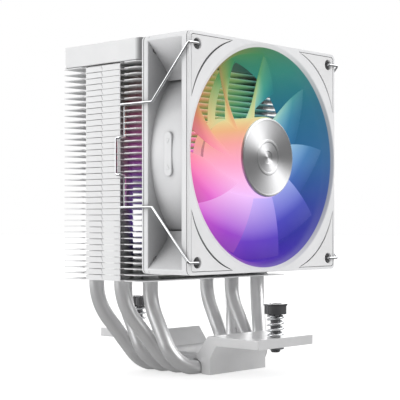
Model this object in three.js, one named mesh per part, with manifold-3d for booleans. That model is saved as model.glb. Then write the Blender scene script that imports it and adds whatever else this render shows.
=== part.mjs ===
// CPU tower cooler: a stack of folded fins on U-shaped heat pipes, with a 92 mm fan held by wire clips.
// Millimetres, +Z up. The origin is the centre of the base's contact face. The fan faces -Y.
import * as THREE from 'three';
import { mergeVertices } from 'three/addons/utils/BufferGeometryUtils.js';
import Module from 'manifold-3d';

const wasm = await Module();
wasm.setup();

// ---------- driving dimensions ----------

const GAP = 0.3;                       // clearance between pieces that would touch

const FAN = { size: 92, depth: 25, holePitch: 82.5, holeRadius: 2.15, cornerRadius: 2 };
const TOWER_HEIGHT = 133.1;
const TOWER_BACK = 36.1;               // rear edge of the fins
const FAN_FRONT = -34.65;              // front face of the fan
const FAN_BACK = FAN_FRONT + FAN.depth;
const FAN_Z = TOWER_HEIGHT - FAN.size / 2;
const HALF = FAN.size / 2;
const HOLE = FAN.holePitch / 2;

const FIN = { count: 37, first: 37.8, pitch: 2.392, thickness: 0.4, perPack: 3 };
const FIN_FRONT = FAN_BACK + GAP;
const FLANGE = { from: 2.55, to: 22.45, thickness: 0.4 };
const CLIP_NOTCH = { from: 0, to: 2.4, depth: 2.4 };
const CORNER_CUT = 2.75;

const COVER = {
  top: TOWER_HEIGHT, height: 8.5, wall: 1.6, frontRadius: 3, rearRadius: 1.5, innerRadius: 0.8,
};

const PIPE = { radius: 3.1, sides: 8, top: 127.5, pitch: 7.42, centre: 13.35, outer: 38.2, inner: 29.3 };
const PIPE_HOLE = { sides: 4, turn: 0.35 };  // of the holes in the fins, with the turn in radians
const PIPE_KNEE = { z: 28.3, radius: 25 };
const PIPE_FOOT = { pitch: 7.8, outer: 24.5, inner: 29, radius: 11 };
const PIPE_FOOT_Z = PIPE.radius;
const PIPE_ROWS = [1.5, 0.5, -0.5, -1.5];  // rear to front, in pitches from the centre
const GROOVE_RADIUS = PIPE.radius + GAP;

const BASE = { halfWidth: 17.5, wingReach: 44.45, wingTop: 15.375, wingBottom: 11.625 };
const LEG = { edge: 19.6, shoulder: 6.6, root: 22.8 };          // half depth of the block and its legs
const TROUGH = { rim: 18.15, floorEdge: 12.95, floor: 8.5, plateau: 12.2, plateauTop: 7.3 };
const SCREW_Y = 39;                    // the two screws are 78 mm apart
const SCREW = { headTop: 28.7, headBottom: 24.5, headRadius: 4.8, shank: 2, tip: 9.2, hole: 2.35 };
const SCREW_RIM = { height: 0.8, overhang: 0.4 };
const SCREW_SOCKET = { radius: 2.6, depth: 1.6 };
const RETAINING_RING = { inner: 1.8, outer: 3.4, slotHalfWidth: 0.5 };
const SPRING = { meanRadius: 3.05, wire: 0.5, turns: 4 };

const WIRE = { radius: 0.5, sides: 6 };
const CLIP_SIDE = 47;                  // distance of the clip's wire from the centre plane
const CLIP_WAIST = 44.5;               // the same, where the wire sits in the fins' notch
const CLIP_FRONT = FAN_FRONT - WIRE.radius - GAP;
// Depth of the hook in its hole, Y of the elbow, notch and grip, half heights of the two bends.
const CLIP = { hook: 1.4, elbow: -16.3, notch: 1.3, gripBack: 3.6, shoulder: 20.2, grip: 7.3, bend: 0.75 };

const INTAKE = { lip: 47, throat: 42.2, depth: 4.8 };
const BARREL_RADIUS = 44.4;
const FRONT_FLANGE = 3.9;
const REAR_FLANGE = 3.4;
const PAD = { edge: 44.6, arcCentre: 14.1, arcRadius: 31.3, thickness: 1, recess: 1.3 };

const HUB = { radius: 16.4, wall: 1.1, front: FAN_FRONT + 0.6, back: FAN_FRONT + 20 };
// A blade's angle round the hub, the tip's lag behind the root, and its lengths along the axis.
const BLADE = {
  count: 9, tip: 41.4, thickness: 1.2, centreDepth: 12, camber: 1.2,
  rootSpan: 40, tipSpan: 41.5, sweep: -14, rootLength: 15, tipLength: 16.6,
};
const MOTOR_BASE = { radius: 17, thickness: 2 };
const STRUT = { count: 4, firstAngle: 0.436, sweep: -0.6, halfWidth: 1.5 };
const WEB_HALF_WIDTH = 1.2;            // the diagonal wall behind each corner of the frame
const CAP = { radius: 15.85, thickness: 1.2, bevel: 0.45 };
const HUB_FACE = 1.6;                  // thickness of the cup's front, behind the cap

// Inside the motor, as radii about the fan's axis and depths behind the fan's front face.
const YOKE = { wall: 0.9, magnetInner: 3, backInset: 1 };
const SHAFT = { radius: 1.5, neck: 1.1, neckFrom: 21.6, neckTo: 22.3, end: 22.7 };
const HOUSING = { inner: 3.3, outer: 4.2, from: 6.5, to: 24 };
const SLEEVE = { inner: 1.6, outer: 3, from: 7, to: 21.2 };
const WASHER = { inner: 1.3, outer: 2.8, from: 21.7, to: 22.2 };
const STATOR = { poles: 4, from: 8.5, to: 17.5, inner: 4.5, hub: 6.2, outer: 11.6, face: 1.4, neck: 2.1 };
const STATOR_FACE_HALF_WIDTH = 6.4;
const COIL = { thickness: 1.6, overhang: 1.7, frontClearance: 2.8 };
const BOARD = { inner: 4.6, outer: 14.8, thickness: 1.2 };
const LAMP = { count: 6, from: 11.2, to: 13.9, halfWidth: 1.2, height: 0.7 };

// ---------- geometry helpers ----------

// Turns a closed geometry into a solid that can be joined and cut.
function solid(geometry) {
  const bare = geometry.clone();
  for (const name of Object.keys(bare.attributes)) {
    if (name !== 'position') bare.deleteAttribute(name);
  }
  const merged = mergeVertices(bare, 1e-4);
  const index = merged.index.array;
  const triangles = [];
  for (let i = 0; i < index.length; i += 3) {
    const [a, b, c] = [index[i], index[i + 1], index[i + 2]];
    if (a !== b && b !== c && c !== a) triangles.push(a, b, c);
  }
  return new wasm.Manifold(new wasm.Mesh({
    numProp: 3,
    vertProperties: merged.attributes.position.array,
    triVerts: new Uint32Array(triangles),
  }));
}

function geometryOf(shape) {
  const mesh = shape.getMesh();
  const geometry = new THREE.BufferGeometry();
  geometry.setAttribute('position', new THREE.BufferAttribute(mesh.vertProperties, 3));
  geometry.setIndex(new THREE.BufferAttribute(mesh.triVerts, 1));
  geometry.computeVertexNormals();
  return geometry;
}

const join = (solids) => solids.reduce((sum, next) => sum.add(next));
const cut = (body, tools) => tools.reduce((rest, tool) => rest.subtract(tool), body);

function box(xa, xb, ya, yb, za, zb) {
  const geometry = new THREE.BoxGeometry(xb - xa, yb - ya, zb - za);
  return geometry.translate((xa + xb) / 2, (ya + yb) / 2, (za + zb) / 2);
}

// A body of revolution about the fan's axis. The profile is a list of [radius, y] corners.
function turnedAboutFan(profile, sides = 24) {
  const corners = profile.map(([radius, y]) => new THREE.Vector2(radius, y));
  return new THREE.LatheGeometry(corners, sides).translate(0, 0, FAN_Z);
}

// A body of revolution about a vertical axis. The profile is a list of [radius, z] corners.
function turnedUpright(profile, x, y, sides = 12) {
  const corners = profile.map(([radius, z]) => new THREE.Vector2(radius, -z)).reverse();
  return new THREE.LatheGeometry(corners, sides).rotateX(-Math.PI / 2).translate(x, y, 0);
}

// A ring about the fan's axis, closed on itself.
function ringAboutFan(inner, outer, ya, yb, sides = 24) {
  return turnedAboutFan([[inner, ya], [outer, ya], [outer, yb], [inner, yb], [inner, ya]], sides);
}

// A flat piece across the fan, between two depths. The outline is drawn as seen from the front.
function slabAcrossFan(outline, ya, yb) {
  const geometry = new THREE.ExtrudeGeometry(outline, {
    depth: yb - ya, bevelEnabled: false, curveSegments: 2,
  });
  const basis = new THREE.Matrix4().makeBasis(
    new THREE.Vector3(1, 0, 0), new THREE.Vector3(0, 0, 1), new THREE.Vector3(0, -1, 0),
  );
  return geometry.applyMatrix4(basis).translate(0, yb, FAN_Z);
}

function roundedRectangle(halfWidth, low, high, lowRadius, highRadius = lowRadius) {
  const shape = new THREE.Shape();
  const corner = (side, end, radius, from) => {
    const [x, y] = [side * (halfWidth - radius), end > 0 ? high - radius : low + radius];
    shape.absarc(x, y, radius, from * (Math.PI / 2), (from + 1) * (Math.PI / 2));
  };
  shape.moveTo(halfWidth - lowRadius, low);
  corner(1, -1, lowRadius, -1);
  corner(1, 1, highRadius, 0);
  corner(-1, 1, highRadius, 1);
  corner(-1, -1, lowRadius, 2);
  return shape;
}

// A route with a ring of the section at each of its points, so that a straight run takes one step.
class Route extends THREE.Curve {
  constructor(points) {
    super();
    this.points = points;
  }

  getPoint(t) {
    return this.points[Math.round(t * (this.points.length - 1))].clone();
  }

  getPointAt(t) {
    return this.getPoint(t);
  }

  getTangentAt(t) {
    const last = this.points.length - 1;
    const here = Math.round(t * last);
    const before = this.points[Math.max(here - 1, 0)];
    const after = this.points[Math.min(here + 1, last)];
    const point = this.points[here];
    const arriving = point.clone().sub(before).normalize();
    const leaving = after.clone().sub(point).normalize();
    return arriving.add(leaving).normalize();
  }
}

// The points of a polyline with each inner corner rounded to a radius.
function roundedRoute(corners, radii, stepsPerBend) {
  const points = [corners[0]];
  for (let i = 1; i < corners.length - 1; i += 1) {
    const corner = corners[i];
    const back = corners[i - 1].clone().sub(corner).normalize();
    const onward = corners[i + 1].clone().sub(corner).normalize();
    const half = back.angleTo(onward) / 2;
    const start = corner.clone().addScaledVector(back, radii[i - 1] / Math.tan(half));
    const end = corner.clone().addScaledVector(onward, radii[i - 1] / Math.tan(half));
    const centre = corner.clone().addScaledVector(
      back.clone().add(onward).normalize(), radii[i - 1] / Math.sin(half),
    );
    const from = start.sub(centre);
    const to = end.sub(centre);
    const sweep = from.angleTo(to);
    for (let k = 0; k <= stepsPerBend; k += 1) {
      const t = k / stepsPerBend;
      const a = Math.sin((1 - t) * sweep) / Math.sin(sweep);
      const b = Math.sin(t * sweep) / Math.sin(sweep);
      points.push(centre.clone().addScaledVector(from, a).addScaledVector(to, b));
    }
  }
  points.push(corners[corners.length - 1]);
  return points;
}

function tube(points, radius, sides) {
  const section = new THREE.Shape();
  for (let i = 0; i < sides; i += 1) {
    const angle = (2 * Math.PI * (i + 0.5)) / sides;
    section[i === 0 ? 'moveTo' : 'lineTo'](radius * Math.cos(angle), radius * Math.sin(angle));
  }
  return new THREE.ExtrudeGeometry(section, {
    extrudePath: new Route(points), steps: points.length - 1, bevelEnabled: false,
  });
}

// A thin plate that follows a surface: surface(u, v) gives a point for u and v from 0 to 1.
function curvedPlate(surface, stepsU, stepsV, thickness) {
  const vertices = [];
  const triangles = [];
  const rowLength = stepsV + 1;
  const layer = (stepsU + 1) * rowLength;
  for (const side of [0.5, -0.5]) {
    for (let i = 0; i <= stepsU; i += 1) {
      for (let j = 0; j <= stepsV; j += 1) {
        const [u, v] = [i / stepsU, j / stepsV];
        const small = 0.01;
        const alongU = surface(u + small, v).sub(surface(u - small, v));
        const alongV = surface(u, v + small).sub(surface(u, v - small));
        const normal = alongU.cross(alongV).normalize();
        vertices.push(...surface(u, v).addScaledVector(normal, side * thickness).toArray());
      }
    }
  }
  const quad = (a, b, c, d) => triangles.push(a, b, c, a, c, d);
  for (let i = 0; i < stepsU; i += 1) {
    for (let j = 0; j < stepsV; j += 1) {
      const a = i * rowLength + j;
      quad(a, a + rowLength, a + rowLength + 1, a + 1);
      quad(layer + a, layer + a + 1, layer + a + rowLength + 1, layer + a + rowLength);
    }
  }
  for (let i = 0; i < stepsU; i += 1) {
    const a = i * rowLength;
    quad(a, layer + a, layer + a + rowLength, a + rowLength);
    const b = a + stepsV;
    quad(b, b + rowLength, layer + b + rowLength, layer + b);
  }
  for (let j = 0; j < stepsV; j += 1) {
    quad(j, j + 1, layer + j + 1, layer + j);
    const b = stepsU * rowLength + j;
    quad(b, layer + b, layer + b + 1, b + 1);
  }
  const geometry = new THREE.BufferGeometry();
  geometry.setAttribute('position', new THREE.Float32BufferAttribute(vertices, 3));
  geometry.setIndex(triangles);
  return geometry;
}

// ---------- materials ----------

const finish = (color, roughness, metalness) => (
  new THREE.MeshStandardMaterial({ color, roughness, metalness })
);
const whitePaint = finish(0xe9e9ea, 0.45, 0.1);
const whitePlastic = finish(0xe6e6e8, 0.5, 0);
const whiteRubber = finish(0xe2e2e4, 0.8, 0);
const frostedBlade = finish(0xd9c8ee, 0.35, 0);
const spunMetal = finish(0xc9c9cb, 0.25, 1);
const chrome = finish(0xb9bbbf, 0.12, 1);
const steel = finish(0x8f9298, 0.35, 1);
const bronze = finish(0xb58a4a, 0.5, 1);
const copper = finish(0xb4683a, 0.4, 1);
const magnetBlack = finish(0x2b2b2e, 0.7, 0.2);
const boardWhite = finish(0xdedfe0, 0.5, 0);

const cooler = new THREE.Group();

function addPart(name, geometry, material) {
  const mesh = new THREE.Mesh(geometry, material);
  mesh.name = name;
  cooler.add(mesh);
}

// ---------- heat pipes ----------

// The outer and inner columns alternate, so a pipe that is outer on the left is inner on the right.
function pipeColumns(row) {
  const outerOnLeft = row % 2 === 0;
  return {
    left: outerOnLeft ? 'outer' : 'inner',
    right: outerOnLeft ? 'inner' : 'outer',
  };
}

function pipeRoute(row) {
  const towerY = PIPE.centre + PIPE.pitch * PIPE_ROWS[row];
  const footY = PIPE_FOOT.pitch * PIPE_ROWS[row];
  const columns = pipeColumns(row);
  const leg = (side, column) => [
    new THREE.Vector3(side * PIPE[column], towerY, PIPE.top),
    new THREE.Vector3(side * PIPE[column], towerY, PIPE_KNEE.z),
    new THREE.Vector3(side * PIPE_FOOT[column], footY, PIPE_FOOT_Z),
  ];
  const corners = [...leg(-1, columns.left), ...leg(1, columns.right).reverse()];
  const radii = [PIPE_KNEE.radius, PIPE_FOOT.radius, PIPE_FOOT.radius, PIPE_KNEE.radius];
  return roundedRoute(corners, radii, 4);
}

PIPE_ROWS.forEach((_, row) => {
  addPart(`heat_pipe_${row + 1}`, tube(pipeRoute(row), PIPE.radius, PIPE.sides), whitePaint);
});

// ---------- fins ----------

function finOutline() {
  const outline = new THREE.Shape();
  const inner = HALF - CLIP_NOTCH.depth;
  const right = [
    [HALF - CORNER_CUT, FIN_FRONT], [HALF, FIN_FRONT + CORNER_CUT],
    [HALF, CLIP_NOTCH.from], [inner, CLIP_NOTCH.from], [inner, CLIP_NOTCH.to], [HALF, CLIP_NOTCH.to],
    [HALF, TOWER_BACK],
  ];
  const left = right.map(([x, y]) => [-x, y]).reverse();
  outline.setFromPoints([...right, ...left].map(([x, y]) => new THREE.Vector2(x, y)));
  PIPE_ROWS.forEach((pitches, row) => {
    const y = PIPE.centre + PIPE.pitch * pitches;
    const columns = pipeColumns(row);
    for (const x of [-PIPE[columns.left], PIPE[columns.right]]) {
      const { sides, turn } = PIPE_HOLE;
      const radius = (PIPE.radius + GAP) / Math.cos(Math.PI / sides);
      const hole = new THREE.Path();
      for (let i = 0; i < sides; i += 1) {
        const angle = turn - (2 * Math.PI * i) / sides;
        const [px, py] = [x + radius * Math.cos(angle), y + radius * Math.sin(angle)];
        hole[i === 0 ? 'moveTo' : 'lineTo'](px, py);
      }
      outline.holes.push(hole);
    }
  });
  return outline;
}

const finShape = finOutline();

function finPlate(z) {
  const settings = { depth: FIN.thickness, bevelEnabled: false };
  return solid(new THREE.ExtrudeGeometry(finShape, settings).translate(0, 0, z));
}

// A pack of fins: each fin's folded side flanges reach up to the fin above it.
function finPack(firstIndex) {
  const pieces = [];
  for (let i = 0; i < FIN.perPack; i += 1) {
    const z = FIN.first + FIN.pitch * (firstIndex + i);
    const isLast = i === FIN.perPack - 1;
    const flangeTop = z + FIN.pitch + (isLast ? -GAP : FIN.thickness / 2);
    pieces.push(finPlate(z));
    for (const side of [-1, 1]) {
      const faces = [side * HALF, side * (HALF - FLANGE.thickness)].sort((a, b) => a - b);
      pieces.push(solid(box(...faces, FLANGE.from, FLANGE.to, z, flangeTop)));
    }
  }
  return geometryOf(join(pieces));
}

const packCount = (FIN.count - 1) / FIN.perPack;
for (let pack = 0; pack < packCount; pack += 1) {
  addPart(`fin_pack_${String(pack + 1).padStart(2, '0')}`, finPack(pack * FIN.perPack), whitePaint);
}
addPart('top_fin', geometryOf(finPlate(FIN.first + FIN.pitch * (FIN.count - 1))), whitePaint);

// ---------- top cover ----------

function topCover() {
  const shell = (inset, from, to) => {
    const radii = [COVER.frontRadius, COVER.rearRadius].map(
      (radius) => Math.max(radius - inset, COVER.innerRadius),
    );
    const outline = roundedRectangle(HALF - inset, FIN_FRONT + inset, TOWER_BACK - inset, ...radii);
    const settings = { depth: to - from, bevelEnabled: false, curveSegments: 3 };
    return solid(new THREE.ExtrudeGeometry(outline, settings).translate(0, 0, from));
  };
  const bottom = COVER.top - COVER.height;
  const body = shell(0, bottom, COVER.top);
  const hollow = shell(COVER.wall, bottom - 1, COVER.top - COVER.wall);
  return geometryOf(body.subtract(hollow));
}

addPart('top_cover', topCover(), whitePaint);

// ---------- base ----------

// One cast profile: a block with four pipe grooves below, a trough above and a wing each side.
function basePlate() {
  const outline = new THREE.Shape();
  const half = [
    [BASE.wingReach, BASE.wingBottom], [BASE.wingReach, BASE.wingTop], [TROUGH.rim, BASE.wingTop],
    [TROUGH.floorEdge, TROUGH.floor], [TROUGH.plateau, TROUGH.plateauTop],
  ];
  outline.moveTo(LEG.edge, 0);
  outline.lineTo(LEG.edge, LEG.shoulder);
  outline.lineTo(LEG.root, BASE.wingBottom);
  for (const [y, z] of half) outline.lineTo(y, z);
  for (const [y, z] of [...half].reverse()) outline.lineTo(-y, z);
  outline.lineTo(-LEG.root, BASE.wingBottom);
  outline.lineTo(-LEG.edge, LEG.shoulder);
  outline.lineTo(-LEG.edge, 0);
  for (const pitches of [...PIPE_ROWS].reverse()) {
    const y = PIPE_FOOT.pitch * pitches;
    outline.lineTo(y - GROOVE_RADIUS, 0);
    outline.lineTo(y - GROOVE_RADIUS, PIPE_FOOT_Z);
    outline.absarc(y, PIPE_FOOT_Z, GROOVE_RADIUS, Math.PI, 0, true);
    outline.lineTo(y + GROOVE_RADIUS, 0);
  }
  const geometry = new THREE.ExtrudeGeometry(outline, {
    depth: 2 * BASE.halfWidth, bevelEnabled: false, curveSegments: 5,
  });
  const alongX = new THREE.Matrix4().makeBasis(
    new THREE.Vector3(0, 1, 0), new THREE.Vector3(0, 0, 1), new THREE.Vector3(1, 0, 0),
  );
  geometry.applyMatrix4(alongX).translate(-BASE.halfWidth, 0, 0);
  const holes = [-1, 1].map((side) => solid(turnedUpright(
    [[0, BASE.wingBottom - 1], [SCREW.hole, BASE.wingBottom - 1], [SCREW.hole, BASE.wingTop + 1],
      [0, BASE.wingTop + 1]],
    0, side * SCREW_Y,
  )));
  return geometryOf(cut(solid(geometry), holes));
}

addPart('base_plate', basePlate(), whitePaint);

// ---------- mounting screws, springs and retaining rings ----------

const NECK = { radius: 1.5, top: BASE.wingBottom, bottom: BASE.wingBottom - 1.4 };

function mountingScrew(y) {
  const { shank, tip, headBottom, headTop, headRadius } = SCREW;
  const bevel = shank - NECK.radius;
  const body = headRadius - SCREW_RIM.overhang;
  const rimBottom = headTop - SCREW_RIM.height;
  const socketFloor = headTop - SCREW_SOCKET.depth;
  return turnedUpright([
    [0, tip], [shank - bevel, tip], [shank, tip + bevel], [shank, NECK.bottom],
    [NECK.radius, NECK.bottom], [NECK.radius, NECK.top], [shank, NECK.top], [shank, headBottom],
    [body, headBottom], [body, rimBottom], [headRadius, rimBottom], [headRadius, headTop],
    [SCREW_SOCKET.radius, headTop], [SCREW_SOCKET.radius, socketFloor], [0, socketFloor],
  ], 0, y);
}

function screwSpring(y) {
  const bottom = BASE.wingTop + GAP + SPRING.wire;
  const top = SCREW.headBottom - GAP - SPRING.wire;
  const steps = SPRING.turns * 9;
  const points = [];
  for (let i = 0; i <= steps; i += 1) {
    const t = i / steps;
    const angle = 2 * Math.PI * SPRING.turns * t;
    const rise = (t - 0.12) / 0.76;
    const z = bottom + (top - bottom) * Math.min(Math.max(rise, 0), 1);
    points.push(new THREE.Vector3(
      SPRING.meanRadius * Math.cos(angle), y + SPRING.meanRadius * Math.sin(angle), z,
    ));
  }
  return tube(points, SPRING.wire, 4);
}

// A split washer in the screw's neck, below the wing.
function retainingRing(y) {
  const { inner, outer, slotHalfWidth } = RETAINING_RING;
  const [za, zb] = [NECK.bottom + GAP, NECK.top - GAP];
  const ring = solid(turnedUpright([[inner, za], [outer, za], [outer, zb], [inner, zb], [inner, za]], 0, y));
  const slot = solid(box(0, outer + 1, y - slotHalfWidth, y + slotHalfWidth, za - 1, zb + 1));
  return geometryOf(cut(ring, [slot]));
}

for (const [place, side] of [['front', -1], ['rear', 1]]) {
  const y = side * SCREW_Y;
  addPart(`mounting_screw_${place}`, geometryOf(solid(mountingScrew(y))), chrome);
  addPart(`screw_spring_${place}`, screwSpring(y), chrome);
  addPart(`retaining_ring_${place}`, retainingRing(y), steel);
}

// ---------- fan frame ----------

function intakeAndDuct() {
  const front = FAN_FRONT - 1;
  const slope = (INTAKE.lip - INTAKE.throat) / INTAKE.depth;
  return turnedAboutFan([
    [0, front], [INTAKE.lip + slope, front], [INTAKE.throat, FAN_FRONT + INTAKE.depth],
    [INTAKE.throat, FAN_BACK + 1], [0, FAN_BACK + 1],
  ], 36);
}

// A corner pad's outline: two straight edges and an arc that follows the intake.
function padOutline(sideX, sideZ, grow) {
  const edge = PAD.edge + grow;
  const radius = PAD.arcRadius - grow;
  const reach = PAD.arcCentre + Math.sqrt(radius ** 2 - (edge - PAD.arcCentre) ** 2);
  const points = [];
  const start = Math.atan2(reach - PAD.arcCentre, edge - PAD.arcCentre);
  const end = Math.PI / 2 - start;
  const steps = 5;
  for (let i = 0; i <= steps; i += 1) {
    const angle = start + ((end - start) * i) / steps;
    points.push([
      PAD.arcCentre + radius * Math.cos(angle),
      PAD.arcCentre + radius * Math.sin(angle),
    ]);
  }
  points.push([edge - 1, edge], [edge, edge - 1]);
  const placed = points.map(([x, z]) => new THREE.Vector2(sideX * x, sideZ * z));
  if (sideX * sideZ > 0) placed.reverse();
  return new THREE.Shape(placed);
}

const corners = [
  ['lower_left', -1, -1], ['lower_right', 1, -1], ['upper_left', -1, 1], ['upper_right', 1, 1],
];

// A screw hole is bored through each flange, and the diagonal wall between the flanges stays whole.
function cornerHole(sideX, sideZ, ya, yb) {
  const hole = new THREE.CylinderGeometry(FAN.holeRadius, FAN.holeRadius, yb - ya, 10);
  return solid(hole.translate(sideX * HOLE, (ya + yb) / 2, FAN_Z + sideZ * HOLE));
}

const frontHole = (sideX, sideZ) => cornerHole(sideX, sideZ, FAN_FRONT - 1, FAN_FRONT + FRONT_FLANGE);
const rearHole = (sideX, sideZ) => cornerHole(sideX, sideZ, FAN_BACK - REAR_FLANGE, FAN_BACK + 1);

// A curved strut from the motor base to the duct, in the rear plane.
function strut(startAngle) {
  const points = [];
  const steps = 4;
  const [inner, outer] = [MOTOR_BASE.radius - 1, INTAKE.throat + 1];
  for (let i = 0; i <= steps; i += 1) {
    const t = i / steps;
    const radius = inner + (outer - inner) * t;
    const angle = startAngle + STRUT.sweep * t;
    points.push(new THREE.Vector2(radius * Math.cos(angle), radius * Math.sin(angle)));
  }
  const edge = (offset) => points.map((point, i) => {
    const before = points[Math.max(i - 1, 0)];
    const after = points[Math.min(i + 1, steps)];
    const along = after.clone().sub(before).normalize();
    return new THREE.Vector2(point.x - offset * along.y, point.y + offset * along.x);
  });
  const outline = new THREE.Shape([...edge(-STRUT.halfWidth), ...edge(STRUT.halfWidth).reverse()]);
  return solid(slabAcrossFan(outline, FAN_BACK - MOTOR_BASE.thickness, FAN_BACK));
}

// The diagonal wall from the duct to a corner of the frame, between the two flanges.
function cornerWeb(sideX, sideZ) {
  const near = (BARREL_RADIUS - 1) / Math.SQRT2;
  const far = HALF;
  const offset = WEB_HALF_WIDTH * Math.SQRT2;
  const points = [[near + offset, near], [far, far - offset], [far, far - 1], [far - 1, far],
    [far - offset, far], [near, near + offset]];
  const placed = points.map(([x, z]) => new THREE.Vector2(sideX * x, sideZ * z));
  if (sideX * sideZ < 0) placed.reverse();
  const inside = 1;
  return solid(slabAcrossFan(
    new THREE.Shape(placed), FAN_FRONT + FRONT_FLANGE - inside, FAN_BACK - REAR_FLANGE + inside,
  ));
}

function fanFrame() {
  const square = roundedRectangle(HALF, -HALF, HALF, FAN.cornerRadius);
  const shell = join([
    solid(slabAcrossFan(square, FAN_FRONT, FAN_FRONT + FRONT_FLANGE)),
    solid(slabAcrossFan(square, FAN_BACK - REAR_FLANGE, FAN_BACK)),
    solid(ringAboutFan(INTAKE.throat - 1, BARREL_RADIUS, FAN_FRONT + 2, FAN_BACK - 2, 36)),
    ...corners.map(([, sideX, sideZ]) => cornerWeb(sideX, sideZ)),
  ]);
  const cuts = [solid(intakeAndDuct())];
  for (const [, sideX, sideZ] of corners) {
    const recess = padOutline(sideX, sideZ, GAP);
    cuts.push(frontHole(sideX, sideZ), rearHole(sideX, sideZ));
    cuts.push(solid(slabAcrossFan(recess, FAN_FRONT - 1, FAN_FRONT + PAD.recess)));
    cuts.push(solid(slabAcrossFan(recess, FAN_BACK - PAD.recess, FAN_BACK + 1)));
  }
  const base = solid(turnedAboutFan([
    [0, FAN_BACK - MOTOR_BASE.thickness], [MOTOR_BASE.radius, FAN_BACK - MOTOR_BASE.thickness],
    [MOTOR_BASE.radius, FAN_BACK], [0, FAN_BACK],
  ]));
  const housing = solid(motorRing(HOUSING));
  const struts = [];
  for (let i = 0; i < STRUT.count; i += 1) {
    struts.push(strut(STRUT.firstAngle + (2 * Math.PI * i) / STRUT.count));
  }
  return geometryOf(join([cut(shell, cuts), base, housing, ...struts]));
}

addPart('fan_frame', fanFrame(), whitePlastic);

for (const [name, sideX, sideZ] of corners) {
  const outline = padOutline(sideX, sideZ, 0);
  const front = solid(slabAcrossFan(outline, FAN_FRONT, FAN_FRONT + PAD.thickness));
  const rear = solid(slabAcrossFan(outline, FAN_BACK - PAD.thickness, FAN_BACK));
  addPart(`front_pad_${name}`, geometryOf(cut(front, [frontHole(sideX, sideZ)])), whiteRubber);
  addPart(`rear_pad_${name}`, geometryOf(cut(rear, [rearHole(sideX, sideZ)])), whiteRubber);
}

// ---------- rotor ----------

// A blade's middle surface. u runs from the hub to the tip and v from the rear to the front edge.
function bladeSurface(turn) {
  const root = HUB.radius - HUB.wall / 2;
  const { lerp, degToRad } = THREE.MathUtils;
  return (u, v) => {
    const radius = lerp(root, BLADE.tip, u);
    const span = degToRad(lerp(BLADE.rootSpan, BLADE.tipSpan, u));
    const angle = turn + degToRad(BLADE.sweep * u) + span * (v - 0.5);
    const bulge = BLADE.camber * (0.25 - (v - 0.5) ** 2);
    const depth = BLADE.centreDepth - (v - 0.5) * lerp(BLADE.rootLength, BLADE.tipLength, u) + bulge;
    return new THREE.Vector3(
      radius * Math.cos(angle), FAN_FRONT + depth, FAN_Z + radius * Math.sin(angle),
    );
  };
}

function impeller() {
  const { radius, wall, front, back } = HUB;
  const cup = turnedAboutFan([
    [0, front], [radius - 0.6, front], [radius, front + 0.6], [radius, back], [radius - wall, back],
    [radius - wall, front + HUB_FACE], [0, front + HUB_FACE],
  ]);
  const pieces = [solid(cup)];
  for (let i = 0; i < BLADE.count; i += 1) {
    const turn = (2 * Math.PI * i) / BLADE.count;
    pieces.push(solid(curvedPlate(bladeSurface(turn), 3, 2, BLADE.thickness)));
  }
  return geometryOf(join(pieces));
}

addPart('impeller', impeller(), frostedBlade);

const capBack = HUB.front - GAP;
const capFront = capBack - CAP.thickness;
addPart('hub_cap', turnedAboutFan([
  [0, capFront], [CAP.radius - CAP.bevel, capFront], [CAP.radius, capFront + CAP.bevel],
  [CAP.radius, capBack], [0, capBack],
]), spunMetal);

const cupInside = HUB.front + HUB_FACE + GAP;
const yokeOuter = HUB.radius - HUB.wall - GAP;
const yokeBack = HUB.back - YOKE.backInset;
addPart('rotor_yoke', ringAboutFan(yokeOuter - YOKE.wall, yokeOuter, cupInside, yokeBack), steel);
addPart('rotor_magnet', ringAboutFan(
  yokeOuter - YOKE.magnetInner, yokeOuter - YOKE.wall - GAP, cupInside + 1.5, yokeBack - 0.5,
), magnetBlack);

function motorShaft() {
  const [neckFrom, neckTo, end] = [SHAFT.neckFrom, SHAFT.neckTo, SHAFT.end].map((depth) => FAN_FRONT + depth);
  return turnedAboutFan([
    [0, cupInside], [SHAFT.radius, cupInside], [SHAFT.radius, neckFrom], [SHAFT.neck, neckFrom],
    [SHAFT.neck, neckTo], [SHAFT.radius, neckTo], [SHAFT.radius, end], [0, end],
  ], 16);
}

addPart('motor_shaft', motorShaft(), steel);

// ---------- stator ----------

function motorRing({ inner, outer, from, to }) {
  return ringAboutFan(inner, outer, FAN_FRONT + from, FAN_FRONT + to, 16);
}

addPart('bearing_sleeve', motorRing(SLEEVE), bronze);
addPart('shaft_washer', motorRing(WASHER), boardWhite);

const statorFront = FAN_FRONT + STATOR.from;
const statorBack = FAN_FRONT + STATOR.to;

// The geometry turned to the given pole of the motor.
function atPole(geometry, index, count) {
  return geometry.rotateY((-2 * Math.PI * index) / count).translate(0, 0, FAN_Z);
}

function statorCore() {
  const { poles, inner, hub, outer, face, neck } = STATOR;
  const pieces = [solid(ringAboutFan(inner, hub, statorFront, statorBack, 16))];
  const rim = solid(ringAboutFan(outer - face, outer, statorFront, statorBack, 24));
  const [spokeFrom, spokeTo] = [hub - 0.8, outer - face / 2];
  for (let i = 0; i < poles; i += 1) {
    const spoke = box(spokeFrom, spokeTo, statorFront, statorBack, -neck, neck);
    const wedge = box(
      spokeFrom, outer + 1, statorFront, statorBack, -STATOR_FACE_HALF_WIDTH, STATOR_FACE_HALF_WIDTH,
    );
    pieces.push(solid(atPole(spoke, i, poles)), rim.intersect(solid(atPole(wedge, i, poles))));
  }
  return geometryOf(join(pieces));
}

addPart('stator_core', statorCore(), steel);

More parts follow.
